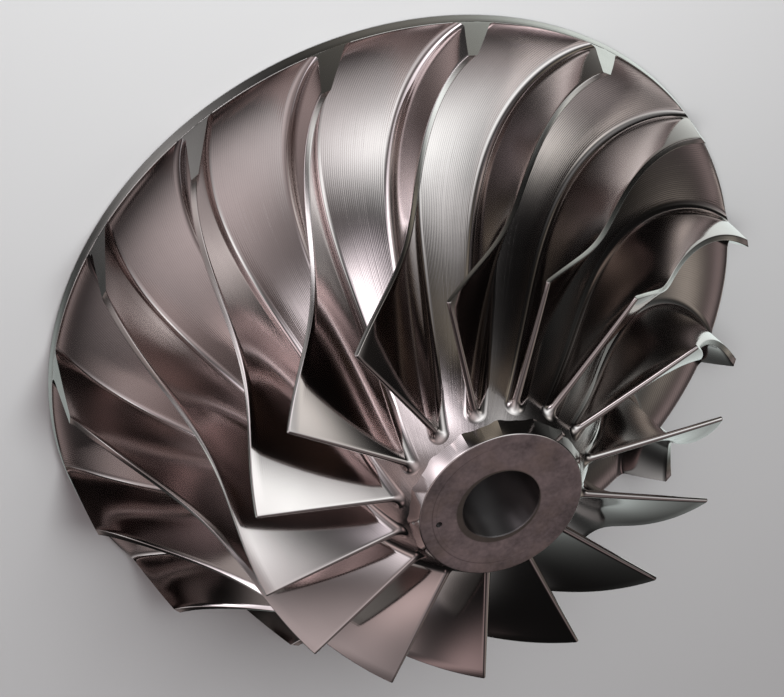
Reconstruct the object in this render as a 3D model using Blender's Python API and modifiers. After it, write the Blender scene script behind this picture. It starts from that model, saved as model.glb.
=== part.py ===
"""Semi-open centrifugal compressor impeller: bored hub, back disc and fifteen backswept blades.

Metres, +Z along the bore axis from the flat back face towards the nose. The origin is the centre of the
back face. Blade 01's leading edge lies along +X; the blades follow each other clockwise seen from the nose.
"""
from math import comb, cos, hypot, pi, radians, sin

import bmesh
import bpy
from mathutils import Matrix

NAME = "compressor_impeller"
MM = 0.001

# Main sizes in millimetres
BLADES = 15
OUTER_RADIUS = 200.0
RIM_THICKNESS = 7.5
NOSE_HEIGHT = 174.3
NOSE_RADIUS = 46.7
BORE_RADIUS = 21.8
BORE_CHAMFER = 2.0
MOUTH_CHAMFER = 0.5
EDGE_BREAK = 0.8
COLLAR_BASE = 160.6
GAP = 0.3

# Meridional curves and wrap angles, each a smooth curve drawn through its poles from inlet to outlet
HUB_R = (53.5, 88.0, 99.0, 152.0, 188.0, OUTER_RADIUS)
HUB_Z = (160.3, 110.5, 52.0, 14.0, 4.5, RIM_THICKNESS)
HUB_WRAP = (0.0, 29.3, 25.0, 33.0, 45.8, 48.7)
SHROUD_R = (134.2, 138.8, 133.0, 153.4, 184.0, OUTER_RADIUS)
SHROUD_Z = (159.5, 119.9, 105.3, 69.0, 38.5, 40.4)
SHROUD_WRAP = (0.0, 21.7, 27.8, 29.6, 39.5, 44.4)

# Blade thicknesses at the leading edge, the middle and the trailing edge
ROOT_THICKNESS = (4.4, 12.6, 12.0)
TIP_THICKNESS = (2.6, 3.0, 3.6)
ROOT_FILLET = 3.6

# Small hole in the nose face
HOLE_CENTRE_RADIUS = 35.7
HOLE_ANGLE = 13.8
HOLE_RADIUS = 1.6
HOLE_DEPTH = 6.0

STATIONS = 20
TURN_STEPS = 90

STEEL = (0.47, 0.45, 0.44, 1.0)
STEEL_DARK = (0.33, 0.31, 0.31, 1.0)


def clear_scene():
    for item in list(bpy.data.objects):
        bpy.data.objects.remove(item, do_unlink=True)


def collection(name):
    group = bpy.data.collections.new(name)
    bpy.context.scene.collection.children.link(group)
    return group


def steel(name, colour, roughness):
    material = bpy.data.materials.new(name)
    material.use_nodes = True
    shader = material.node_tree.nodes["Principled BSDF"]
    shader.inputs["Base Color"].default_value = colour
    shader.inputs["Metallic"].default_value = 1.0
    shader.inputs["Roughness"].default_value = roughness
    return material


def curve(poles, t):
    degree = len(poles) - 1
    return sum(comb(degree, i) * t ** i * (1.0 - t) ** (degree - i) * pole for i, pole in enumerate(poles))


def blend(values, t):
    """Smooth value through the inlet, middle and outlet numbers."""
    first, middle, last = values
    return first * (1 - t) * (1 - 2 * t) + 4 * middle * t * (1 - t) + last * t * (2 * t - 1)


def hub_profile():
    """Outer side of the hub from its top edge down the blade floor, the rim, the back and the bore."""
    points = [(BORE_RADIUS, HUB_Z[0])]
    for i in range(STATIONS + 1):
        t = i / STATIONS
        points.append((curve(HUB_R, t), curve(HUB_Z, t)))
    points.append((OUTER_RADIUS, EDGE_BREAK))
    points.append((OUTER_RADIUS - EDGE_BREAK, 0.0))
    points.append((BORE_RADIUS + BORE_CHAMFER, 0.0))
    points.append((BORE_RADIUS, BORE_CHAMFER))
    return points


def collar_profile():
    """Nose face, its broken edge, the tapered collar and the bore mouth with its chamfer."""
    slope = (HUB_R[0] - NOSE_RADIUS) / (NOSE_HEIGHT - HUB_Z[0])
    base_radius = HUB_R[0] - slope * (COLLAR_BASE - HUB_Z[0])
    return [
        (BORE_RADIUS + MOUTH_CHAMFER, NOSE_HEIGHT),
        (NOSE_RADIUS - EDGE_BREAK, NOSE_HEIGHT),
        (NOSE_RADIUS, NOSE_HEIGHT - EDGE_BREAK),
        (base_radius, COLLAR_BASE),
        (BORE_RADIUS, COLLAR_BASE),
        (BORE_RADIUS, NOSE_HEIGHT - MOUTH_CHAMFER),
    ]


def turned(name, points, material, group):
    """Closed profile turned about Z by a Screw modifier."""
    mesh = bpy.data.meshes.new(name)
    edges = [(i, (i + 1) % len(points)) for i in range(len(points))]
    mesh.from_pydata([(r * MM, 0.0, z * MM) for r, z in points], edges, [])
    item = bpy.data.objects.new(name, mesh)
    group.objects.link(item)
    screw = item.modifiers.new("Turn", "SCREW")
    screw.axis = "Z"
    screw.angle = 2.0 * pi
    screw.steps = TURN_STEPS
    screw.render_steps = TURN_STEPS
    screw.use_merge_vertices = True
    screw.merge_threshold = 0.00005
    screw.use_smooth_shade = False
    mesh.materials.append(material)
    return item


def nose_hole(target, group):
    bpy.ops.mesh.primitive_cylinder_add(vertices=20, radius=HOLE_RADIUS * MM, depth=2.0 * HOLE_DEPTH * MM)
    cutter = bpy.context.active_object
    cutter.name = "nose_hole_cutter"
    angle = radians(HOLE_ANGLE)
    radius = HOLE_CENTRE_RADIUS * MM
    cutter.location = (radius * cos(angle), radius * sin(angle), NOSE_HEIGHT * MM)
    for owner in list(cutter.users_collection):
        owner.objects.unlink(cutter)
    group.objects.link(cutter)
    cutter.hide_render = True
    cutter.display_type = "WIRE"
    cut = target.modifiers.new("Hole", "BOOLEAN")
    cut.operation = "DIFFERENCE"
    cut.object = cutter


def blade_section(t, fullness):
    """Ring of points of one blade at a station: middle of the foot, up the left side, down the right side."""
    hub_r = curve(HUB_R, t)
    hub_z = curve(HUB_Z, t)
    tip_r = curve(SHROUD_R, t)
    tip_z = curve(SHROUD_Z, t)
    hub_wrap = radians(curve(HUB_WRAP, t))
    tip_wrap = radians(curve(SHROUD_WRAP, t))
    span = hypot(tip_r - hub_r, tip_z - hub_z)
    near = max(0.0, t - 0.01)
    far = min(1.0, t + 0.01)
    run_r = curve(HUB_R, far) - curve(HUB_R, near)
    run_z = curve(HUB_Z, far) - curve(HUB_Z, near)
    run = hypot(run_r, run_z)
    facing = ((tip_r - hub_r) * -run_z + (tip_z - hub_z) * run_r) / (span * run)
    foot = GAP / facing

    def sweep(radii, wraps, heights):
        path = hypot(curve(radii, far) - curve(radii, near), curve(heights, far) - curve(heights, near))
        turn = radians(curve(wraps, far) - curve(wraps, near))
        return hypot(1.0, curve(radii, t) * turn / path)

    hub_skew = sweep(HUB_R, HUB_WRAP, HUB_Z)
    tip_skew = sweep(SHROUD_R, SHROUD_WRAP, SHROUD_Z)
    root = 0.5 * blend(ROOT_THICKNESS, t) * fullness
    tip = 0.5 * blend(TIP_THICKNESS, t) * fullness
    fillet = ROOT_FILLET * (0.35 + 0.65 * fullness)
    levels = (
        (foot, root + fillet),
        (foot + 0.3 * fillet, root + 0.3 * fillet),
        (foot + fillet, root),
        (span, tip),
    )
    def place(height, half):
        share = height / span
        r = hub_r + share * (tip_r - hub_r)
        z = hub_z + share * (tip_z - hub_z)
        wrap = hub_wrap + share * (tip_wrap - hub_wrap)
        angle = half * (hub_skew + share * (tip_skew - hub_skew)) / r - wrap
        return (r * cos(angle) * MM, r * sin(angle) * MM, z * MM)

    left = [place(height, half) for height, half in levels]
    right = [place(height, -half) for height, half in levels]
    return [place(foot, 0.0)] + left + right[::-1]


def blade_mesh(material):
    """Loft through the stations; the first few round off the leading edge."""
    nose = ((0.0, 0.3), (0.0008, 0.7), (0.0028, 0.93))
    stations = [(t, fullness) for t, fullness in nose]
    stations.append((0.0065, 1.0))
    stations += [(i / STATIONS, 1.0) for i in range(1, STATIONS + 1)]
    shape = bmesh.new()
    rings = [[shape.verts.new(p) for p in blade_section(t, fullness)] for t, fullness in stations]
    count = len(rings[0])
    for ring, following in zip(rings, rings[1:]):
        for i in range(count):
            j = (i + 1) % count
            shape.faces.new((ring[i], ring[j], following[j], following[i]))
    shape.faces.new(rings[0])
    shape.faces.new(rings[-1][::-1])
    bmesh.ops.triangulate(shape, faces=[f for f in shape.faces if len(f.verts) > 4])
    bmesh.ops.recalc_face_normals(shape, faces=shape.faces)
    mesh = bpy.data.meshes.new("blade")
    shape.to_mesh(mesh)
    shape.free()
    mesh.materials.append(material)
    return mesh


def main():
    clear_scene()
    parts = collection(NAME)
    cutters = collection("cutters")
    body = turned("hub_body", hub_profile(), steel("hub_steel", STEEL, 0.32), parts)
    collar = turned("nose_collar", collar_profile(), steel("nose_steel", STEEL_DARK, 0.38), parts)
    nose_hole(collar, cutters)
    mesh = blade_mesh(steel("blade_steel", STEEL, 0.26))
    step = 2.0 * pi / BLADES
    for number in range(1, BLADES + 1):
        blade = bpy.data.objects.new("blade_%02d" % number, mesh)
        blade.matrix_world = Matrix.Rotation(-step * (number - 1), 4, "Z")
        parts.objects.link(blade)
    bpy.context.view_layer.update()
    return body


main()
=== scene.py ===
"""Dressed centrifugal compressor impeller in a pale studio.

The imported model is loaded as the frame. Its hub, nose collar and fifteen blades are replaced by finished
skins that follow the same curves: the hub floor with its rim, back face and bore, the turned and faceted
nose, and blades with wrapped root fillets, rounded leading edges and flat lands. Lengths are in metres, +Z is
the bore axis from the back face to the nose, and the leading edge of the first blade lies along +X.
"""
from math import atan2, comb, cos, hypot, pi, radians, sin, tan

import bpy
from bpy.props import FloatProperty, FloatVectorProperty, IntProperty, PointerProperty
from mathutils import Matrix, Vector


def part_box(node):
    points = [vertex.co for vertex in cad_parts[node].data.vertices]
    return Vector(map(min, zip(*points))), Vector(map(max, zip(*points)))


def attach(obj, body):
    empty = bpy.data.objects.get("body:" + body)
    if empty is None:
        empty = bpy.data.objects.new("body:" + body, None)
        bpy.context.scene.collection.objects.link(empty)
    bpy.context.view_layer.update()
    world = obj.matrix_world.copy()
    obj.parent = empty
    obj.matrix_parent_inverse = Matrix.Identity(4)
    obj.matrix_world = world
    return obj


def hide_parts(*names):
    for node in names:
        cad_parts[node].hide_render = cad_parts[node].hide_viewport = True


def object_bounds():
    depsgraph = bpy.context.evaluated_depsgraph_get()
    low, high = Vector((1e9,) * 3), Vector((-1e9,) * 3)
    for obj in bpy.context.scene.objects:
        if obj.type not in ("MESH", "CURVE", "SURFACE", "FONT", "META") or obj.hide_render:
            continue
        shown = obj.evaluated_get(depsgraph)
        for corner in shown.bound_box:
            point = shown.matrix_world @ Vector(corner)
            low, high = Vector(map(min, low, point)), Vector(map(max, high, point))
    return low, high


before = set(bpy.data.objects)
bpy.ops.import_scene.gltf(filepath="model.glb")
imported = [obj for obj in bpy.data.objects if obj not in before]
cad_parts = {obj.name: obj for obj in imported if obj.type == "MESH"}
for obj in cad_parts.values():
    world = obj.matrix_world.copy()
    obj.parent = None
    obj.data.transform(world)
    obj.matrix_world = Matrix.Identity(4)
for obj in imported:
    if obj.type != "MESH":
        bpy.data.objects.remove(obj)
CAD_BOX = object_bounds()

bl_info = {
    "name": "Compressor impeller",
    "version": (1, 0, 0),
    "blender": (4, 5, 0),
    "location": "View3D > Sidebar > Impeller",
    "description": "Models a semi-open centrifugal impeller on its packed frame",
    "category": "Object",
}

MM = 0.001
MERGE_DISTANCE = 0.002 * MM
SMALLEST_EDGE = 0.0005 * MM

# Edges that turn by more than this many degrees stay crisp
TURNED_CREASE = 25.0
BLADE_CREASE = 34.0

# The skins end just inside the frame's rim, and the blades just inside the hub's
SKIN_INSET = 0.02 * MM
BLADE_INSET = 0.03 * MM
RIM_RADIUS = min(CAD_BOX[1].x, CAD_BOX[1].y) - SKIN_INSET
NOSE_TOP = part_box("nose_collar")[1].z


# Sizes and colours a user would change

class WheelSizes(bpy.types.PropertyGroup):
    outer_radius: FloatProperty(
        name="Outer radius", description="Radius of the rim and of the blades' trailing edges",
        default=RIM_RADIUS, unit="LENGTH")
    nose_height: FloatProperty(
        name="Nose height", description="Height of the nose face over the back face",
        default=NOSE_TOP, unit="LENGTH")
    nose_radius: FloatProperty(
        name="Nose radius", description="Radius of the flat nose face with its edge",
        default=46.7 * MM, unit="LENGTH")
    nose_edge: FloatProperty(
        name="Nose edge", description="Radius of the rounded edge of the nose face",
        default=1.0 * MM, unit="LENGTH")
    collar_radius: FloatProperty(
        name="Collar radius", description="Radius at the foot of the faceted collar",
        default=50.4 * MM, unit="LENGTH")
    collar_foot: FloatProperty(
        name="Collar foot", description="Height of the step line at the foot of the collar",
        default=165.0 * MM, unit="LENGTH")
    flats: IntProperty(
        name="Flats", description="Number of milled flats round the collar", default=30)
    flat_dip: FloatProperty(
        name="Flat dip", description="How much deeper the collar is cut at the blades than between them",
        default=0.6 * MM, unit="LENGTH")
    bore_radius: FloatProperty(
        name="Bore radius", description="Radius of the bore through the hub",
        default=21.8 * MM, unit="LENGTH")
    bore_chamfer: FloatProperty(
        name="Bore chamfer", description="Width of the chamfer at the back of the bore",
        default=2.0 * MM, unit="LENGTH")
    mouth_chamfer: FloatProperty(
        name="Mouth chamfer", description="Width of the fine chamfer where the bore meets the nose face",
        default=0.5 * MM, unit="LENGTH")
    edge_break: FloatProperty(
        name="Edge break", description="Width of the broken edge round the rim",
        default=0.4 * MM, unit="LENGTH")
    hole_radius: FloatProperty(
        name="Hole radius", description="Radius of the small hole in the nose face",
        default=1.8 * MM, unit="LENGTH")
    hole_depth: FloatProperty(
        name="Hole depth", description="Depth of the small hole", default=6.0 * MM, unit="LENGTH")
    hole_circle: FloatProperty(
        name="Hole circle", description="Distance of the small hole from the axis",
        default=35.7 * MM, unit="LENGTH")
    hole_angle: FloatProperty(
        name="Hole angle", description="Place of the small hole round the axis",
        default=radians(13.8), subtype="ANGLE")
    hub_radii: FloatVectorProperty(
        name="Hub radii", description="Radii of the poles of the blade floor's curve",
        size=6, default=(53.5 * MM, 88.0 * MM, 99.0 * MM, 152.0 * MM, 188.0 * MM, RIM_RADIUS), unit="LENGTH")
    hub_heights: FloatVectorProperty(
        name="Hub heights", description="Heights of the poles of the blade floor's curve",
        size=6, default=(160.3 * MM, 110.5 * MM, 52.0 * MM, 14.0 * MM, 4.5 * MM, 7.5 * MM), unit="LENGTH")
    hub_wraps: FloatVectorProperty(
        name="Hub wraps", description="Angles of the poles of the blade's root line",
        size=6, default=[radians(a) for a in (0.0, 29.3, 25.0, 33.0, 45.8, 48.7)], subtype="EULER")


class BladeSizes(bpy.types.PropertyGroup):
    count: IntProperty(name="Blades", description="Number of blades", default=15)
    tip_radii: FloatVectorProperty(
        name="Tip radii", description="Radii of the poles of the blade's land",
        size=6, default=(134.2 * MM, 138.8 * MM, 133.0 * MM, 153.4 * MM, 184.0 * MM, RIM_RADIUS),
        unit="LENGTH")
    tip_heights: FloatVectorProperty(
        name="Tip heights", description="Heights of the poles of the blade's land",
        size=6, default=(159.5 * MM, 119.9 * MM, 105.3 * MM, 69.0 * MM, 38.5 * MM, 40.4 * MM), unit="LENGTH")
    tip_wraps: FloatVectorProperty(
        name="Tip wraps", description="Angles of the poles of the blade's land",
        size=6, default=[radians(a) for a in (0.0, 21.7, 27.8, 29.6, 39.5, 44.4)], subtype="EULER")
    root_thickness: FloatVectorProperty(
        name="Root thickness",
        description="Thickness at the floor, without fillets, at inlet, middle and outlet",
        size=3, default=(4.4 * MM, 12.6 * MM, 12.0 * MM), unit="LENGTH")
    tip_thickness: FloatVectorProperty(
        name="Tip thickness", description="Thickness at the land at inlet, middle and outlet",
        size=3, default=(2.6 * MM, 3.0 * MM, 3.6 * MM), unit="LENGTH")
    fillet: FloatVectorProperty(
        name="Root fillet", description="Fillet radius at inlet, middle and outlet",
        size=3, default=(4.2 * MM, 4.3 * MM, 3.9 * MM), unit="LENGTH")
    land_edge: FloatProperty(
        name="Land edge", description="Width of the broken edges of the land",
        default=0.4 * MM, unit="LENGTH")
    pass_width: FloatProperty(
        name="Pass width", description="Width of the fine cutter passes along the blade",
        default=0.85 * MM, unit="LENGTH")


class SteelFinish(bpy.types.PropertyGroup):
    milled: FloatVectorProperty(
        name="Milled steel", description="Colour of the milled floor and blades",
        size=3, default=(0.53, 0.47, 0.457), subtype="COLOR")
    turned: FloatVectorProperty(
        name="Turned steel", description="Colour of the turned rim, lands and back face",
        size=3, default=(0.56, 0.525, 0.50), subtype="COLOR")
    nose: FloatVectorProperty(
        name="Nose steel", description="Colour of the stained nose face",
        size=3, default=(0.40, 0.325, 0.33), subtype="COLOR")
    # The bore wall's dark colour is painted shade of the deep bore, not the steel's own colour
    bore_painted_shade: FloatVectorProperty(
        name="Bored steel", description="Colour of the dark wall of the bore",
        size=3, default=(0.20, 0.18, 0.18), subtype="COLOR")
    lanes: IntProperty(
        name="Lanes", description="Number of cutter passes over the floor between two blades", default=50)
    cusp_height: FloatProperty(
        name="Cusp height", description="Height of the milling cusps in the bump",
        default=0.024 * MM, unit="LENGTH")


class StudioSettings(bpy.types.PropertyGroup):
    lens: FloatProperty(name="Lens", description="Focal length in millimetres", default=268.58)
    camera_place: FloatVectorProperty(
        name="Camera place", description="Where the camera stands",
        size=3, default=(1.10967, -1.86170, 2.43812), subtype="TRANSLATION")
    camera_turn: FloatVectorProperty(
        name="Camera turn", description="How the camera is turned and rolled",
        size=3, default=[radians(a) for a in (-37.6812, -19.8559, -173.1511)], subtype="EULER")
    light_level: FloatProperty(
        name="Light level", description="Brightness of all the soft lights together", default=1.13)
    floor_colour: FloatVectorProperty(
        name="Floor colour", description="Colour of the pale floor",
        size=3, default=(0.495, 0.47, 0.475), subtype="COLOR")
    lamp_place: FloatVectorProperty(
        name="Floor lamp place", description="Where the lamp stands that lights only the floor",
        size=3, default=(0.07, -0.53, 0.75), subtype="TRANSLATION")
    lamp_target: FloatVectorProperty(
        name="Floor lamp target", description="Point of the floor that the lamp is turned to",
        size=3, default=(0.07, -0.48, 0.0), subtype="TRANSLATION")
    lamp_width: FloatProperty(
        name="Floor lamp width", description="Diameter of the floor lamp", default=0.6, unit="LENGTH")
    lamp_power: FloatProperty(name="Floor lamp power", description="Power of the floor lamp", default=9.2)
    lamp_colour: FloatVectorProperty(
        name="Floor lamp colour", description="Colour of the floor lamp",
        size=3, default=(0.93, 1.0, 0.99), subtype="COLOR")


def settings():
    return bpy.context.scene.impeller_wheel, bpy.context.scene.impeller_blade


# Curves of the wheel

def along(poles, t):
    """Point of a smooth curve drawn through its poles."""
    degree = len(poles) - 1
    return sum(comb(degree, i) * t ** i * (1.0 - t) ** (degree - i) * pole for i, pole in enumerate(poles))


def slope(poles, t):
    """How fast the same curve runs at t."""
    steps = [b - a for a, b in zip(poles, poles[1:])]
    return len(steps) * along(steps, t)


def between(values, t):
    """Smooth value through the inlet, middle and outlet numbers."""
    first, middle, last = values
    return first * (1 - t) * (1 - 2 * t) + 4 * middle * t * (1 - t) + last * t * (2 * t - 1)


# Modelling steps shared by the pieces

def deselect_all():
    bpy.ops.object.select_all(action="DESELECT")


def new_piece(name):
    """Names the primitive that was just added."""
    piece = bpy.context.active_object
    piece.name = name
    piece.data.name = name
    return piece


def close_and_turn_out(piece):
    """Merges what lies on top of each other and points every face outwards."""
    bpy.ops.object.mode_set(mode="EDIT")
    bpy.ops.mesh.select_all(action="SELECT")
    bpy.ops.mesh.remove_doubles(threshold=MERGE_DISTANCE)
    bpy.ops.mesh.dissolve_degenerate(threshold=SMALLEST_EDGE)
    bpy.ops.mesh.normals_make_consistent(inside=False)
    bpy.ops.object.mode_set(mode="OBJECT")
    if signed_volume(piece.data) < 0.0:
        raise RuntimeError(piece.name + " is inside out")


def signed_volume(mesh):
    mesh.calc_loop_triangles()
    total = 0.0
    for triangle in mesh.loop_triangles:
        a, b, c = (mesh.vertices[i].co for i in triangle.vertices)
        total += a.dot(b.cross(c))
    return total / 6.0


def smooth_to(piece, degrees):
    """Shades the piece smooth, but not over its sharper edges."""
    deselect_all()
    piece.select_set(True)
    bpy.context.view_layer.objects.active = piece
    bpy.ops.object.shade_smooth_by_angle(angle=radians(degrees))


def turn_profile(name, profile, steps):
    """A circle of points becomes the closed profile, which is spun about the bore axis."""
    deselect_all()
    bpy.ops.mesh.primitive_circle_add(vertices=len(profile), radius=0.1, fill_type="NOTHING")
    piece = new_piece(name)
    for vertex, (r, z) in zip(piece.data.vertices, profile):
        vertex.co = (r, 0.0, z)
    bpy.ops.object.mode_set(mode="EDIT")
    bpy.ops.mesh.select_all(action="SELECT")
    bpy.ops.mesh.spin(steps=steps, angle=2.0 * pi, center=(0.0, 0.0, 0.0), axis=(0.0, 0.0, 1.0))
    bpy.ops.object.mode_set(mode="OBJECT")
    close_and_turn_out(piece)
    return piece


def store(piece, name, values):
    """Stores a number for every point of the piece under a name the materials read."""
    layer = piece.data.attributes.new(name, "FLOAT", "POINT")
    layer.data.foreach_set("value", values)


# Materials

class Nodes:
    """A material's node tree, filled from the left."""

    def __init__(self, name):
        self.material = bpy.data.materials.new(name)
        self.fill(self.material, "Principled BSDF")

    def fill(self, owner, shader):
        owner.use_nodes = True
        self.tree = owner.node_tree
        self.shader = self.tree.nodes[shader]

    def add(self, kind, inputs=None, **options):
        node = self.tree.nodes.new(kind)
        for key, value in options.items():
            setattr(node, key, value)
        for key, value in (inputs or {}).items():
            if isinstance(value, bpy.types.NodeSocket):
                self.tree.links.new(value, node.inputs[key])
            else:
                node.inputs[key].default_value = value
        return node

    def math(self, operation, a, b=0.0, c=0.0):
        node = self.add("ShaderNodeMath", {0: a, 1: b, 2: c}, operation=operation)
        return node.outputs[0]

    def noise(self, place, scale, detail=3.0, roughness=0.55):
        node = self.add("ShaderNodeTexNoise", {"Vector": place, "Scale": scale, "Detail": detail,
                                               "Roughness": roughness})
        return node.outputs["Fac"]

    def ranged(self, value, low, high, out_low, out_high):
        node = self.add("ShaderNodeMapRange", {"Value": value, "From Min": low, "From Max": high,
                                               "To Min": out_low, "To Max": out_high})
        return node.outputs["Result"]

    def place(self):
        return self.add("ShaderNodeTexCoord").outputs["Object"]

    def attribute(self, name):
        return self.add("ShaderNodeAttribute", attribute_name=name).outputs["Fac"]

    def clouds(self, noise, low, high):
        """Stretches the middle of a noise, where nearly all of it lies, to a range."""
        return self.ranged(noise, 0.3, 0.7, low, high)

    def cusps(self, lane):
        """Sharp ridges, one for each half turn of the lane."""
        return self.math("SUBTRACT", 1.0, self.math("ABSOLUTE", self.math("SINE", lane)))

    def radius(self, centre=(0.0, 0.0)):
        """Distance from the bore axis, or from a line beside it."""
        moved = self.add("ShaderNodeMapping", {"Vector": self.place(), "Scale": (1.0, 1.0, 0.0),
                                               "Location": (-centre[0], -centre[1], 0.0)})
        length = self.add("ShaderNodeVectorMath", {0: moved.outputs["Vector"]}, operation="LENGTH")
        return length.outputs["Value"]

    def height(self):
        return self.add("ShaderNodeSeparateXYZ", {"Vector": self.place()}).outputs["Z"]

    def bump(self, height, distance):
        return self.add("ShaderNodeBump", {"Height": height, "Distance": distance}).outputs["Normal"]

    def tint(self, fac, dark, light):
        node = self.add("ShaderNodeMix", {0: fac, 6: dark, 7: light}, data_type="RGBA")
        return node.outputs[2]

    def finish(self, metallic=1.0, **links):
        self.shader.inputs["Metallic"].default_value = metallic
        for key, value in links.items():
            socket = self.shader.inputs[key.replace("_", " ")]
            if isinstance(value, bpy.types.NodeSocket):
                self.tree.links.new(value, socket)
            else:
                socket.default_value = value
        return self.material


def shade(colour, factor):
    return (colour[0] * factor, colour[1] * factor, colour[2] * factor, 1.0)


def milled_floor_steel(finish, blades):
    """Cutter lanes that follow the flow over the hub floor, with sharp little cusps between them."""
    n = Nodes("milled_floor")
    place = n.place()
    axes = n.add("ShaderNodeSeparateXYZ", {"Vector": place})
    angle = n.math("ARCTAN2", axes.outputs["Y"], axes.outputs["X"])
    lane = n.math("MULTIPLY", n.math("ADD", angle, n.attribute("flow")), 0.5 * blades * finish.lanes)
    cusp = n.cusps(lane)
    broad = n.noise(place, 22.0)
    grain = n.noise(place, 260.0, 4.0)
    worn = n.clouds(n.noise(place, 48.0), 0.45, 1.0)
    uneven = n.add("ShaderNodeTexWhiteNoise", {"W": n.math("FLOOR", n.math("DIVIDE", lane, pi))},
                   noise_dimensions="1D").outputs["Value"]
    worn = n.math("MULTIPLY", worn, n.ranged(uneven, 0.0, 1.0, 0.55, 1.25))
    height = n.math("ADD", n.math("MULTIPLY", cusp, worn), n.math("MULTIPLY", grain, 0.3))
    normal = n.bump(height, finish.cusp_height)
    tone = n.math("SUBTRACT", n.clouds(broad, 0.35, 1.0), n.math("MULTIPLY", cusp, 0.35))
    colour = n.tint(tone, shade(finish.milled, 0.86), shade(finish.milled, 1.05))
    return n.finish(Base_Color=colour, Roughness=n.clouds(broad, 0.10, 0.14), Normal=normal)


def milled_blade_steel(finish, pass_width):
    """Fine cutter passes along the blade, polished over."""
    n = Nodes("milled_blade")
    place = n.place()
    cusp = n.cusps(n.math("MULTIPLY", n.attribute("lay"), pi / pass_width))
    broad = n.noise(place, 18.0)
    grain = n.noise(place, 300.0, 4.0)
    worn = n.clouds(n.noise(place, 40.0), 0.1, 0.6)
    height = n.math("ADD", n.math("MULTIPLY", cusp, worn), n.math("MULTIPLY", grain, 0.25))
    normal = n.bump(height, 0.25 * finish.cusp_height)
    colour = n.tint(n.clouds(broad, 0.0, 1.0), shade(finish.milled, 0.92), shade(finish.milled, 1.04))
    return n.finish(Base_Color=colour, Roughness=n.clouds(broad, 0.08, 0.12), Normal=normal)


def turned_rings(n, measure, pitch, depth, gloss, colour, dark):
    """Turned finish: fine feed marks spaced along a measure, cloudy tone and roughness."""
    place = n.place()
    rings = n.math("SINE", n.math("MULTIPLY", measure, 2.0 * pi / pitch))
    grain = n.noise(place, 420.0, 4.0)
    normal = n.bump(n.math("ADD", n.math("MULTIPLY", rings, 0.6), grain), depth)
    broad = n.noise(place, 24.0)
    tone = n.tint(n.clouds(broad, 0.0, 1.0), shade(colour, dark), shade(colour, 1.0))
    rough = n.clouds(n.noise(place, 80.0), *gloss)
    return n.finish(Base_Color=tone, Roughness=rough, Normal=normal)


def turned_land_steel(finish):
    n = Nodes("turned_land")
    return turned_rings(n, n.height(), pitch=0.5 * MM, depth=0.004 * MM, gloss=(0.18, 0.24),
                        colour=finish.turned, dark=0.92)


def turned_rim_steel(finish):
    n = Nodes("turned_rim")
    return turned_rings(n, n.height(), pitch=0.45 * MM, depth=0.004 * MM, gloss=(0.18, 0.24),
                        colour=finish.turned, dark=0.92)


def turned_back_steel(finish):
    n = Nodes("faced_back")
    return turned_rings(n, n.radius(), pitch=0.8 * MM, depth=0.008 * MM, gloss=(0.28, 0.36),
                        colour=finish.turned, dark=0.88)


def painted_shade_bore_steel(finish):
    """Bored wall whose feed marks spread the reflections along the bore; its dark colour is painted shade of
    the deep bore.
    """
    n = Nodes("painted_shade_bore_wall")
    ring = n.add("ShaderNodeTangent", direction_type="RADIAL", axis="Z").outputs["Tangent"]
    n.finish(Anisotropic=1.0, Anisotropic_Rotation=0.25, Tangent=ring)
    return turned_rings(n, n.height(), pitch=0.6 * MM, depth=0.003 * MM, gloss=(0.38, 0.42),
                        colour=finish.bore_painted_shade, dark=0.8)


def collar_flat_steel(finish):
    n = Nodes("milled_flats")
    return turned_rings(n, n.height(), pitch=0.9 * MM, depth=0.003 * MM, gloss=(0.07, 0.11),
                        colour=finish.milled, dark=0.85)


RUST = (0.46, 0.35, 0.30, 1.0)
SEAT_STAIN = (0.15, 0.135, 0.11, 1.0)

# Radius, width and strength of the two arcs scribed in the nose face, and the circle outside which they show
SCRIBED_ARCS = ((39.4 * MM, 0.5 * MM, 0.4), (36.9 * MM, 0.4 * MM, 0.3))
SCRIBED_CENTRE = (-3.0 * MM, -1.0 * MM)
SCRIBED_FROM = (38.5 * MM, 41.0 * MM)

# The mark round the bore, a little off its centre, fades between these radii
SEAT_CENTRE = (1.2 * MM, 1.1 * MM)
SEAT_EDGE = (23.8 * MM, 24.6 * MM)


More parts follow.
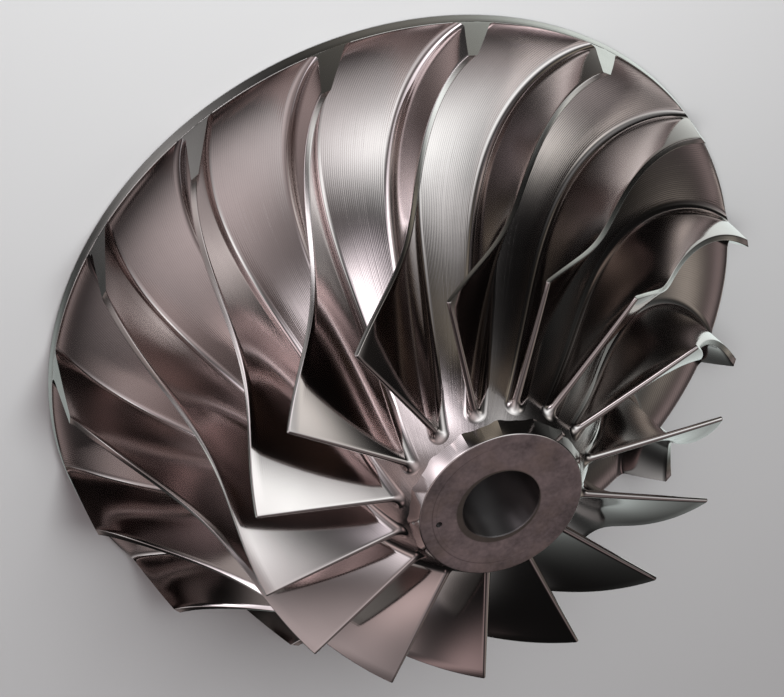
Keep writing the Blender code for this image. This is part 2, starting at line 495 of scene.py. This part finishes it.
def stained_nose_steel(finish):
    """Faced steel with cloudy stains, two scribed arcs and the seat mark round the bore."""
    n = Nodes("stained_nose")
    place = n.place()
    radius = n.radius()
    rings = n.add("ShaderNodeTexNoise", {"W": radius, "Scale": 700.0, "Detail": 5.0}, noise_dimensions="1D")
    stains = n.ranged(n.noise(place, 45.0, 6.0, 0.62), 0.36, 0.64, 0.0, 1.0)
    rusty = n.ranged(n.noise(place, 30.0, 4.0, 0.6), 0.50, 0.66, 0.0, 1.0)
    specks = n.clouds(n.noise(place, 420.0, 3.0), 0.0, 1.0)
    tone = n.math("ADD", n.math("MULTIPLY", stains, 0.7), n.math("MULTIPLY", specks, 0.3))
    colour = n.tint(tone, shade(finish.nose, 0.58), shade(finish.nose, 1.55))
    colour = n.tint(n.math("MULTIPLY", rusty, 0.5), colour, RUST)
    scribed_side = n.ranged(n.radius(SCRIBED_CENTRE), *SCRIBED_FROM, 0.0, 1.0)
    for arc_radius, width, strength in SCRIBED_ARCS:
        off = n.math("ABSOLUTE", n.math("SUBTRACT", radius, arc_radius))
        arc = n.math("MULTIPLY", n.ranged(off, 0.3 * width, width, strength, 0.0), scribed_side)
        colour = n.tint(arc, colour, shade(finish.nose, 0.3))
    seat = n.ranged(n.radius(SEAT_CENTRE), *SEAT_EDGE, 0.8, 0.0)
    colour = n.tint(seat, colour, SEAT_STAIN)
    height = n.math("ADD", n.math("MULTIPLY", rings.outputs["Fac"], 0.8), n.noise(place, 700.0, 4.0))
    normal = n.bump(height, 0.006 * MM)
    rough = n.ranged(stains, 0.0, 1.0, 0.46, 0.36)
    return n.finish(Base_Color=colour, Roughness=rough, Normal=normal)


def pale_floor(studio):
    n = Nodes("pale_floor")
    place = n.place()
    soft = n.noise(place, 1.2)
    colour = n.tint(soft, shade(studio.floor_colour, 0.98), shade(studio.floor_colour, 1.0))
    normal = n.bump(n.noise(place, 400.0), 0.02 * MM)
    return n.finish(metallic=0.0, Base_Color=colour, Roughness=0.85, Normal=normal)


# Hub

# Steps round the axis and along the profile; the floor starts a little before the blades, under the collar
HUB_TURN_STEPS = 270
FLOOR_STATIONS = 96
FLOOR_START = -0.024
RIM_EDGE_STEPS = 4
BACK_STEPS = 8
BORE_STEPS = 4

# Start of the rim's rounded edge below its top, width of its back edge and reach of its steel, in edge widths
RIM_EDGE_DROP = 0.05
BACK_EDGE = 1.5
RIM_STEEL = 1.1

# How far the hub's hidden top lies under the collar, and how much narrower it is
TUCK_DEPTH = 3.0 * MM
TUCK_WIDTH = 4.0 * MM

# Points of the hub are told apart to a hundredth of a millimetre
SPOTS_PER_METRE = 1e5


def hub_profile(wheel):
    """Outside of the hub from under the collar down the floor, the rim, the back face and the bore."""
    points = []
    for i in range(FLOOR_STATIONS):
        t = FLOOR_START + (1.0 - FLOOR_START) * i / FLOOR_STATIONS
        points.append((along(wheel.hub_radii, t), along(wheel.hub_heights, t), t))
    rim = wheel.hub_radii[-1]
    rim_top = wheel.hub_heights[-1]
    edge = wheel.edge_break
    for i in range(RIM_EDGE_STEPS + 1):
        turn = 0.5 * pi * i / RIM_EDGE_STEPS
        drop = edge * (1.0 + RIM_EDGE_DROP - cos(turn))
        points.append((rim - edge * (1.0 - sin(turn)), rim_top - drop, 1.0))
    back_outer = rim - BACK_EDGE * edge
    back_inner = wheel.bore_radius + wheel.bore_chamfer
    points.append((rim, 0.5 * rim_top, 1.0))
    points.append((rim, BACK_EDGE * edge, 1.0))
    for i in range(BACK_STEPS + 1):
        points.append((back_outer + (back_inner - back_outer) * i / BACK_STEPS, 0.0, 1.0))
    points.append((wheel.bore_radius, wheel.bore_chamfer, 1.0))
    top_r, top_z, _ = points[0]
    under = top_z - TUCK_DEPTH
    for i in range(1, BORE_STEPS + 1):
        rise = (under - wheel.bore_chamfer) * i / BORE_STEPS
        points.append((wheel.bore_radius, wheel.bore_chamfer + rise, 0.0))
    points.append((top_r - TUCK_WIDTH, under, 0.0))
    return points


def flow_angles(hub, profile, wraps):
    """How far the flow has turned round the axis at every point of the hub, from its station on the floor."""

    def key(r, z):
        return round(r * SPOTS_PER_METRE), round(z * SPOTS_PER_METRE)

    stations = {key(r, z): t for r, z, t in profile}

    def station(co):
        here = key(hypot(co.x, co.y), co.z)
        nearest = here if here in stations else min(
            stations, key=lambda spot: (here[0] - spot[0]) ** 2 + (here[1] - spot[1]) ** 2)
        return stations[nearest]

    return [along(wraps, station(vertex.co)) for vertex in hub.data.vertices]


def paint_hub(hub, wheel):
    """Floor, rim, back face and bore wall get their own steel, in this order; the bore wall's steel is
    painted dark as the bore's shade.
    """
    floor, rim, back, bore = range(4)
    for face in hub.data.polygons:
        r = hypot(face.center.x, face.center.y)
        if face.normal.z < -0.5:
            face.material_index = back
        elif r < wheel.bore_radius + wheel.bore_chamfer:
            face.material_index = bore
        elif r > wheel.outer_radius - RIM_STEEL * wheel.edge_break:
            face.material_index = rim
        else:
            face.material_index = floor


class IMPELLER_OT_hub(bpy.types.Operator):
    """Model the hub floor with its rim, back face and bore"""
    bl_idname = "impeller.hub"
    bl_label = "Milled hub"

    def execute(self, context):
        wheel, blade = settings()
        finish = context.scene.impeller_steel
        profile = hub_profile(wheel)
        hub = turn_profile("hub_skin", [(r, z) for r, z, t in profile], HUB_TURN_STEPS)
        store(hub, "flow", flow_angles(hub, profile, wheel.hub_wraps))
        for material in (milled_floor_steel(finish, blade.count), turned_rim_steel(finish),
                         turned_back_steel(finish), painted_shade_bore_steel(finish)):
            hub.data.materials.append(material)
        paint_hub(hub, wheel)
        smooth_to(hub, TURNED_CREASE)
        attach(hub, "root")
        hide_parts("hub_body")
        return {"FINISHED"}


# Nose

# Steps round the axis, along the profile and round the drill
NOSE_TURN_STEPS = 360
FACE_STEPS = 7
NOSE_EDGE_STEPS = 5
NOSE_EDGE_TURN = radians(75.0)
COLLAR_STEPS = 5
DRILL_SIDES = 32

# The flats start, and their ridges end, at these shares of the nose edge under the face
FLATS_START = 0.8
RIDGE_TOP = 0.5

# An edge on a ridge is at most this share of a flat away from it and rises at least this far
RIDGE_NEARNESS = 0.02
RIDGE_RISE = 0.2 * MM
RIDGE_SLACK = 0.1 * MM

# The step line at the collar's foot, and the hidden part of the nose below it
STEP_WIDTH = 1.2 * MM
STEP_DEPTH = 0.25 * MM
NOSE_TUCK_WIDTH = 4.5 * MM
NOSE_TUCK_DEPTH = 7.0 * MM
BORE_CLEARANCE = 0.01 * MM


def nose_profile(wheel):
    """Bore mouth, chamfer, face, rounded edge and collar side down to the step line and under it."""
    top = wheel.nose_height
    edge = wheel.nose_edge
    inner = wheel.bore_radius + wheel.mouth_chamfer
    outer = wheel.nose_radius - edge
    points = [(wheel.bore_radius, top - wheel.mouth_chamfer), (inner, top)]
    for i in range(1, FACE_STEPS):
        points.append((inner + (outer - inner) * i / FACE_STEPS, top))
    for i in range(NOSE_EDGE_STEPS + 1):
        turn = NOSE_EDGE_TURN * i / NOSE_EDGE_STEPS
        points.append((outer + edge * sin(turn), top - edge * (1.0 - cos(turn))))
    start_r, start_z = points[-1]
    for i in range(1, COLLAR_STEPS + 1):
        share = i / COLLAR_STEPS
        points.append((start_r + (wheel.collar_radius - start_r) * share,
                       start_z + (wheel.collar_foot - start_z) * share))
    points.append((wheel.collar_radius - STEP_WIDTH, wheel.collar_foot - STEP_DEPTH))
    under = wheel.collar_foot - NOSE_TUCK_DEPTH
    points.append((wheel.collar_radius - NOSE_TUCK_WIDTH, under))
    points.append((wheel.bore_radius + BORE_CLEARANCE, under))
    return points


def mill_flats(nose, wheel):
    """Moves the collar's side in to its flats, which are at their full depth at the foot."""
    start = wheel.nose_height - wheel.nose_edge * FLATS_START
    flat_angle = 2.0 * pi / wheel.flats
    dip = 1.0 - wheel.flat_dip / wheel.collar_radius
    for vertex in nose.data.vertices:
        r = hypot(vertex.co.x, vertex.co.y)
        if r < wheel.nose_radius - wheel.nose_edge or vertex.co.z > start:
            continue
        share = min(1.0, (start - vertex.co.z) / (start - wheel.collar_foot))
        place = (atan2(vertex.co.y, vertex.co.x) % (2.0 * flat_angle)) / flat_angle
        turn = flat_angle * (place if place <= 1.0 else 2.0 - place)
        flat = sin(flat_angle) / (sin(flat_angle - turn) / dip + sin(turn))
        scale = 1.0 + (flat - 1.0) * share
        vertex.co.x *= scale
        vertex.co.y *= scale


def drill_small_hole(nose, wheel):
    """Cuts the blind hole into the nose face with a drill-sized cylinder."""
    deselect_all()
    bpy.ops.mesh.primitive_cylinder_add(
        vertices=DRILL_SIDES, radius=wheel.hole_radius, depth=2.0 * wheel.hole_depth,
        location=(wheel.hole_circle * cos(wheel.hole_angle), wheel.hole_circle * sin(wheel.hole_angle),
                  wheel.nose_height))
    drill = bpy.context.active_object
    cut = nose.modifiers.new("Small hole", "BOOLEAN")
    cut.operation = "DIFFERENCE"
    cut.solver = "EXACT"
    cut.object = drill
    deselect_all()
    nose.select_set(True)
    bpy.context.view_layer.objects.active = nose
    bpy.ops.object.modifier_apply(modifier=cut.name)
    bpy.data.objects.remove(drill, do_unlink=True)


def paint_nose(nose, wheel):
    """Nose face, collar side and bore wall get their own steel, in this order; the bore wall's steel is
    painted dark as the bore's shade.
    """
    face_part, side_part, painted_shade_bore_part = range(3)
    for face in nose.data.polygons:
        r = hypot(face.center.x, face.center.y)
        if face.normal.z > 0.9:
            face.material_index = face_part
        elif r < wheel.nose_radius - 2.0 * wheel.nose_edge:
            face.material_index = painted_shade_bore_part
        else:
            face.material_index = side_part


def mark_ridges(nose, wheel):
    """Keeps the ridges between the collar's flats crisp."""
    step = 2.0 * pi / wheel.flats
    lowest = wheel.collar_foot - RIDGE_SLACK
    highest = wheel.nose_height - wheel.nose_edge * RIDGE_TOP
    marks = nose.data.attributes.get("sharp_edge")
    if marks is None:
        marks = nose.data.attributes.new("sharp_edge", "BOOLEAN", "EDGE")
    for edge in nose.data.edges:
        a, b = (nose.data.vertices[i].co for i in edge.vertices)
        if min(a.z, b.z) < lowest or max(a.z, b.z) > highest:
            continue
        if abs(a.z - b.z) < RIDGE_RISE or hypot(a.x, a.y) < wheel.nose_radius - wheel.nose_edge:
            continue
        turn = (atan2(a.y, a.x) / step) % 1.0
        if min(turn, 1.0 - turn) < RIDGE_NEARNESS:
            marks.data[edge.index].value = True


class IMPELLER_OT_nose(bpy.types.Operator):
    """Model the turned nose face, the faceted collar, the bore mouth and the small hole"""
    bl_idname = "impeller.nose"
    bl_label = "Turned nose"

    def execute(self, context):
        wheel, _ = settings()
        finish = context.scene.impeller_steel
        nose = turn_profile("nose_skin", nose_profile(wheel), NOSE_TURN_STEPS)
        mill_flats(nose, wheel)
        drill_small_hole(nose, wheel)
        for material in (stained_nose_steel(finish), collar_flat_steel(finish), painted_shade_bore_steel(finish)):
            nose.data.materials.append(material)
        paint_nose(nose, wheel)
        smooth_to(nose, TURNED_CREASE)
        mark_ridges(nose, wheel)
        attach(nose, "root")
        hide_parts("nose_collar")
        return {"FINISHED"}


# Blades

class BladeShape:
    """Finds any point of the first blade's skin from its run t, its height share and its side offset."""

    def __init__(self, wheel, blade):
        self.hub = (list(wheel.hub_radii), list(wheel.hub_heights), list(wheel.hub_wraps))
        self.tip = (list(blade.tip_radii), list(blade.tip_heights), list(blade.tip_wraps))
        self.hub[0][-1] -= BLADE_INSET
        self.tip[0][-1] -= BLADE_INSET
        self.root_thickness = tuple(blade.root_thickness)
        self.tip_thickness = tuple(blade.tip_thickness)
        self.fillet = tuple(blade.fillet)
        self.land_edge = blade.land_edge

    def camber(self, t, share):
        """Radius, height and wrap of the middle surface, how fast it runs, and the slope of its turn."""

        def mixed(measure):
            pairs = [(measure(hub, t), measure(tip, t)) for hub, tip in zip(self.hub, self.tip)]
            return [low + share * (high - low) for low, high in pairs]

        r, z, wrap = mixed(along)
        run_r, run_z, turn = mixed(slope)
        run = hypot(run_r, run_z)
        return r, z, wrap, run, r * turn / run

    def span(self, t):
        """Length of the blade from floor to land, and how squarely it stands on the floor."""
        rise_r = along(self.tip[0], t) - along(self.hub[0], t)
        rise_z = along(self.tip[1], t) - along(self.hub[1], t)
        run_r = slope(self.hub[0], t)
        run_z = slope(self.hub[1], t)
        length = hypot(rise_r, rise_z)
        facing = (rise_z * run_r - rise_r * run_z) / (length * hypot(run_r, run_z))
        return length, facing

    def lean(self, t):
        """How far the land stands to the left of the root, measured square to the blade."""
        root_r, _, root_wrap, _, tangent = self.camber(t, 0.0)
        tip_r, _, tip_wrap, _, _ = self.camber(t, 1.0)
        return (root_wrap - tip_wrap) * 0.5 * (root_r + tip_r) / hypot(1.0, tangent)

    def level(self, step, t, side):
        """Height share, half thickness and half width with the fillet at one level of one side."""
        length, facing = self.span(t)
        rise = length * facing
        half_root = 0.5 * between(self.root_thickness, t)
        half_tip = 0.5 * between(self.tip_thickness, t)
        fillet = between(self.fillet, t)
        lean = side * self.lean(t)
        tilt = atan2(lean + half_tip - half_root, rise)
        top = fillet * (1.0 + sin(tilt))
        kind, value = step
        if kind == "foot":
            turn = max(0.0, value) * (0.5 * pi + tilt)
            height = fillet * (1.0 - cos(turn)) + min(0.0, value) * MM
            across = half_root + fillet * (tan(0.25 * pi + 0.5 * tilt) - sin(turn))
            share = height / rise
            half = half_root + max(0.0, share) * (half_tip - half_root)
            return share, half, max(0.0, across - lean * share)
        share = 1.0
        inset = self.land_edge * value
        if kind == "side":
            share = (top + value * (rise - self.land_edge - top)) / rise
            inset = 0.0
        elif kind == "edge":
            share = 1.0 - self.land_edge * (1.0 - sin(0.5 * pi * value)) / rise
            inset = self.land_edge * (1.0 - cos(0.5 * pi * value))
        half = half_root + share * (half_tip - half_root)
        return share, half, max(0.0, half - inset)

    def point(self, t, share, offset):
        """Place on the skin: the middle surface moved sideways round the axis."""
        r, z, wrap, _, tangent = self.camber(t, share)
        angle = -wrap + offset * hypot(1.0, tangent) / r
        return Vector((r * cos(angle), r * sin(angle), z))


# Levels of a blade's side: steps of the fillet, shares of the flank, and insets of the land in edge widths
UNDER_FLOOR = -0.6
FILLET_STEPS = 9
SIDE_STEPS = (0.08, 0.2, 0.35, 0.5, 0.65, 0.8, 0.92, 1.0)
LAND_INSETS = (1.0, 3.0)

# Columns of a blade: turns round the leading edge, then stations that lie closer near it
NOSE_STEPS = 8
RUN_STEPS = 96
RUN_CROWDING = 1.25

# Where along the blade the cutter passes are measured out
LAY_STATION = 0.4


def blade_levels():
    """Levels of one side from under the floor to the land."""
    levels = [("foot", UNDER_FLOOR)]
    levels += [("foot", i / FILLET_STEPS) for i in range(FILLET_STEPS + 1)]
    levels += [("side", value) for value in SIDE_STEPS]
    levels += [("edge", 1 / 3), ("edge", 2 / 3)]
    levels += [("land", inset) for inset in LAND_INSETS]
    return levels


def blade_columns():
    """Turn round the leading edge, then run along the side to the trailing edge and over its middle."""
    turns = [("turn", 0.5 * pi * i / NOSE_STEPS) for i in range(NOSE_STEPS)]
    runs = [("run", (i / RUN_STEPS) ** RUN_CROWDING) for i in range(RUN_STEPS + 1)]
    return turns + runs + [("close", 1.0)]


def blade_skin_point(shape, step, column, side):
    """Point of one side of the skin, where a level and a column cross."""
    kind, value = column
    share, half, wide = shape.level(step, 0.0, side)
    _, _, _, run, tangent = shape.camber(0.0, share)
    skew = hypot(1.0, tangent)
    middle = half / (skew * run)
    if kind == "turn":
        forward = -wide * cos(value) / skew
        sideways = side * wide * sin(value)
        t = middle + (forward + sideways * tangent / skew) / run
        return shape.point(t, share, sideways)
    start = middle + side * wide * tangent / skew / run
    t = start + (1.0 - start) * value
    share, half, wide = shape.level(step, value, side)
    if kind == "close":
        share = 0.5 * (share + shape.level(step, value, -side)[0])
        wide = 0.0
    return shape.point(t, share, side * wide)


class IMPELLER_OT_blades(bpy.types.Operator):
    """Model one blade with its fillets, rounded leading edge and land, and copy it round the hub"""
    bl_idname = "impeller.blades"
    bl_label = "Milled blades"

    def execute(self, context):
        wheel, blade = settings()
        finish = context.scene.impeller_steel
        shape = BladeShape(wheel, blade)
        levels = blade_levels()
        columns = blade_columns()
        foot = levels[0]
        rows = [(foot, 0)] + [(step, 1) for step in levels] + [(levels[-1], 0)]
        rows += [(step, -1) for step in reversed(levels)] + [(foot, 0)]
        deselect_all()
        bpy.ops.mesh.primitive_grid_add(
            x_subdivisions=len(columns) - 1, y_subdivisions=len(rows) - 1, size=1.0)
        first = new_piece("blade_skin_01")
        lay = self.cutter_lay(shape, rows)
        values = []
        for vertex in first.data.vertices:
            j = round((vertex.co.x + 0.5) * (len(columns) - 1))
            i = round((vertex.co.y + 0.5) * (len(rows) - 1))
            step, side = rows[i]
            vertex.co = blade_skin_point(shape, step, columns[j], side) if side else self.middle_point(
                shape, step, columns[j])
            values.append(lay[i])
        store(first, "lay", values)
        self.mark_parts(first, rows, columns)
        close_and_turn_out(first)
        for material in (milled_blade_steel(finish, blade.pass_width), turned_land_steel(finish)):
            first.data.materials.append(material)
        smooth_to(first, BLADE_CREASE)
        pitch_angle = 2.0 * pi / blade.count
        for number in range(1, blade.count + 1):
            if number == 1:
                skin = first
            else:
                skin = first.copy()
                skin.data = first.data.copy()
                skin.name = "blade_skin_%02d" % number
                skin.data.name = skin.name
                context.collection.objects.link(skin)
                skin.data.transform(Matrix.Rotation(-pitch_angle * (number - 1), 4, "Z"))
            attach(skin, "root")
            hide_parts("blade_%02d" % number)
        return {"FINISHED"}

    def middle_point(self, shape, step, column):
        """Middle of the land or of the foot, between the two sides."""
        left = blade_skin_point(shape, step, column, 1)
        right = blade_skin_point(shape, step, column, -1)
        return (left + right) / 2.0

    def cutter_lay(self, shape, rows):
        """Distance across the section, row by row, which spaces the cutter passes."""
        lay = []
        travelled = 0.0
        before = None
        for step, side in rows[:len(rows) // 2 + 1]:
            share, half, wide = shape.level(step, LAY_STATION, side or 1)
            here = shape.point(LAY_STATION, share, side * wide)
            if before is not None:
                travelled += (here - before).length
            lay.append(travelled)
            before = here
        return lay + lay[-2::-1]

    def mark_parts(self, piece, rows, columns):
        """The flanks get the milled steel, the land and the trailing edge the turned one."""
        milled, turned = range(2)
        land = {i for i, (step, side) in enumerate(rows) if step[0] == "land"}
        count = len(columns)
        for face in piece.data.polygons:
            spots = [divmod(index, count) for index in face.vertices]
            on_land = all(i in land for i, j in spots)
            on_end = all(j >= count - 2 for i, j in spots)
            face.material_index = turned if on_land or on_end else milled


# Studio

# Soft lights round the wheel: azimuth and elevation in degrees, spread in degrees, brightness and colour
GLOWS = (
    ("key softbox middle", -112.0, 42.0, 11.0, 1.5, (0.90, 0.99, 1.0)),
    ("key softbox near side", -86.0, 53.0, 9.0, 1.05, (0.91, 0.98, 1.0)),
    ("key softbox far side", -140.0, 48.0, 10.0, 0.7, (0.91, 0.99, 1.0)),
    ("key softbox foot", -111.0, 23.0, 9.0, 0.65, (0.94, 0.99, 1.0)),
    ("key softbox far end", -157.0, 30.0, 7.0, 1.0, (0.97, 1.0, 0.96)),
    ("ceiling over the key", -92.0, 72.0, 15.0, 0.58, (0.95, 0.98, 1.0)),
    ("side softbox top", -66.0, 21.0, 5.5, 1.0, (0.94, 0.92, 1.0)),
    ("side softbox near end", -51.0, 14.0, 7.0, 3.4, (0.96, 0.95, 1.0)),
    ("side softbox second", -44.0, 2.0, 7.0, 2.0, (0.95, 0.94, 1.0)),
    ("side softbox third", -27.0, -3.0, 6.0, 1.4, (0.97, 0.94, 1.0)),
    ("side softbox middle", -15.0, -8.0, 7.5, 2.4, (0.98, 0.94, 1.0)),
    ("side softbox fourth", 10.0, -20.0, 7.5, 2.0, (0.97, 0.95, 1.0)),
    ("side softbox upper far", 24.0, -4.0, 6.0, 0.8, (0.97, 0.95, 1.0)),
    ("side softbox far end", 48.0, -27.0, 8.0, 1.1, (0.94, 1.0, 1.0)),
    ("lamp beside the camera", -25.0, 15.0, 6.5, 1.5, (0.96, 0.95, 1.0)),
    ("table glow", -6.0, 58.0, 20.0, 0.64, (1.0, 0.91, 0.92)),
    ("table front edge", 8.0, 20.0, 8.5, 0.62, (1.0, 0.83, 0.82)),
    ("table right edge", 50.0, 26.0, 6.0, 0.4, (1.0, 0.77, 0.77)),
    ("low fill", -22.0, -42.0, 14.0, 0.4, (0.97, 0.98, 1.0)),
    ("backdrop right", 140.0, -47.0, 18.0, 0.85, (0.90, 1.0, 0.97)),
    ("backdrop left", -170.0, -52.0, 14.0, 0.8, (0.90, 1.0, 0.97)),
    ("right low", 66.0, -53.0, 10.0, 0.42, (0.88, 1.0, 0.99)),
    ("back wall", 147.0, 14.0, 10.0, 0.4, (1.0, 0.95, 0.84)),
    ("ceiling behind", -174.0, 51.0, 11.0, 0.4, (1.0, 0.95, 0.95)),
    ("wall behind the nose", 126.0, 43.0, 10.0, 0.27, (1.0, 0.85, 0.84)),
    ("table on the left", -112.0, -50.0, 13.0, 0.2, (1.0, 0.98, 0.9)),
    ("left wall low", -88.0, -2.0, 8.0, 0.35, (1.0, 0.95, 0.78)),
)

# Light that comes from every other direction
DIM_LIGHT = 0.007


class WorldNodes(Nodes):
    """The world's node tree, with soft lights in it."""

    def __init__(self, name):
        self.world = bpy.data.worlds.new(name)
        self.fill(self.world, "Background")

    def glow(self, sky, azimuth, elevation, spread, brightness, colour):
        """A soft round light seen in one direction of the sky."""
        turn, rise = radians(azimuth), radians(elevation)
        aim = (cos(rise) * cos(turn), cos(rise) * sin(turn), sin(rise))
        near = self.add("ShaderNodeVectorMath", {0: sky, 1: aim}, operation="DOT_PRODUCT").outputs["Value"]
        narrow = radians(spread) ** -2
        fall = self.math("EXPONENT", self.math("MULTIPLY_ADD", near, narrow, -narrow))
        tinted = tuple(brightness * part for part in colour)
        scaled = self.add("ShaderNodeVectorMath", {0: tinted, "Scale": fall}, operation="SCALE")
        return scaled.outputs["Vector"]


def studio_world(level):
    """A nearly dark room with the soft lights in it, all at one level."""
    n = WorldNodes("soft_studio")
    sky = n.add("ShaderNodeTexCoord").outputs["Generated"]
    light = (DIM_LIGHT, DIM_LIGHT, DIM_LIGHT)
    for _, azimuth, elevation, spread, brightness, colour in GLOWS:
        glow = n.glow(sky, azimuth, elevation, spread, level * brightness, colour)
        light = n.add("ShaderNodeVectorMath", {0: light, 1: glow}, operation="ADD").outputs["Vector"]
    n.tree.links.new(light, n.shader.inputs["Color"])
    return n.world


# The floor lies just under the back face, so that the two don't share a plane
FLOOR_SIZE = 12.0
FLOOR_DROP = 0.2 * MM


def pale_plane(studio):
    """The floor just under the wheel, which the polished steel does not show."""
    deselect_all()
    bpy.ops.mesh.primitive_plane_add(size=FLOOR_SIZE, location=(0.0, 0.0, -FLOOR_DROP))
    floor = new_piece("studio_floor")
    bpy.ops.object.transform_apply(location=True, rotation=True, scale=True)
    floor.data.materials.append(pale_floor(studio))
    floor.visible_glossy = False
    return floor


def floor_lamp(studio, floor):
    """Wide soft lamp that lights only the pale floor."""
    light = bpy.data.lights.new("floor_light", "AREA")
    light.shape = "DISK"
    light.size = studio.lamp_width
    light.energy = studio.lamp_power
    light.color = studio.lamp_colour
    lamp = bpy.data.objects.new("floor_light", light)
    lamp.location = studio.lamp_place
    aim = Vector(studio.lamp_target) - Vector(studio.lamp_place)
    lamp.rotation_euler = aim.to_track_quat("-Z", "Y").to_euler()
    bpy.context.scene.collection.objects.link(lamp)
    lit = bpy.data.collections.new("floor_light_lit")
    lit.objects.link(floor)
    lamp.light_linking.receiver_collection = lit
    lamp.visible_camera = False
    lamp.visible_glossy = False


# Width of the camera's sensor in millimetres, which the focal length goes with
SENSOR_WIDTH = 36.0


def studio_camera(studio):
    lens = bpy.data.cameras.new("camera")
    lens.lens = studio.lens
    lens.sensor_width = SENSOR_WIDTH
    lens.sensor_fit = "HORIZONTAL"
    lens.clip_start = 0.1
    lens.clip_end = 50.0
    camera = bpy.data.objects.new("camera", lens)
    camera.location = studio.camera_place
    camera.rotation_euler = studio.camera_turn
    bpy.context.scene.collection.objects.link(camera)
    return camera


class IMPELLER_OT_studio(bpy.types.Operator):
    """Set up the pale floor, the soft lights and the camera"""
    bl_idname = "impeller.studio"
    bl_label = "Pale studio"

    def execute(self, context):
        studio = context.scene.impeller_studio
        floor_lamp(studio, pale_plane(studio))
        context.scene.world = studio_world(studio.light_level)
        context.scene.view_settings.view_transform = "Standard"
        context.scene.camera = studio_camera(studio)
        return {"FINISHED"}


class IMPELLER_PT_panel(bpy.types.Panel):
    """Lists the steps of the impeller"""
    bl_idname = "IMPELLER_PT_panel"
    bl_label = "Impeller"
    bl_space_type = "VIEW_3D"
    bl_region_type = "UI"
    bl_category = "Impeller"

    def draw(self, context):
        layout = self.layout
        for step in STEPS:
            layout.operator(step.bl_idname)
        layout.prop(context.scene.impeller_blade, "count")
        layout.prop(context.scene.impeller_steel, "milled")


GROUPS = {
    "impeller_wheel": WheelSizes,
    "impeller_blade": BladeSizes,
    "impeller_steel": SteelFinish,
    "impeller_studio": StudioSettings,
}
STEPS = (IMPELLER_OT_hub, IMPELLER_OT_nose, IMPELLER_OT_blades, IMPELLER_OT_studio)


def register():
    for item in (*GROUPS.values(), *STEPS, IMPELLER_PT_panel):
        bpy.utils.register_class(item)
    for name, group in GROUPS.items():
        setattr(bpy.types.Scene, name, PointerProperty(type=group))


def unregister():
    for name in GROUPS:
        delattr(bpy.types.Scene, name)
    for item in (IMPELLER_PT_panel, *reversed(STEPS), *reversed(list(GROUPS.values()))):
        bpy.utils.unregister_class(item)


def main():
    register()
    bpy.ops.impeller.hub()
    bpy.ops.impeller.nose()
    bpy.ops.impeller.blades()
    bpy.ops.impeller.studio()


if __name__ == "__main__":
    main()
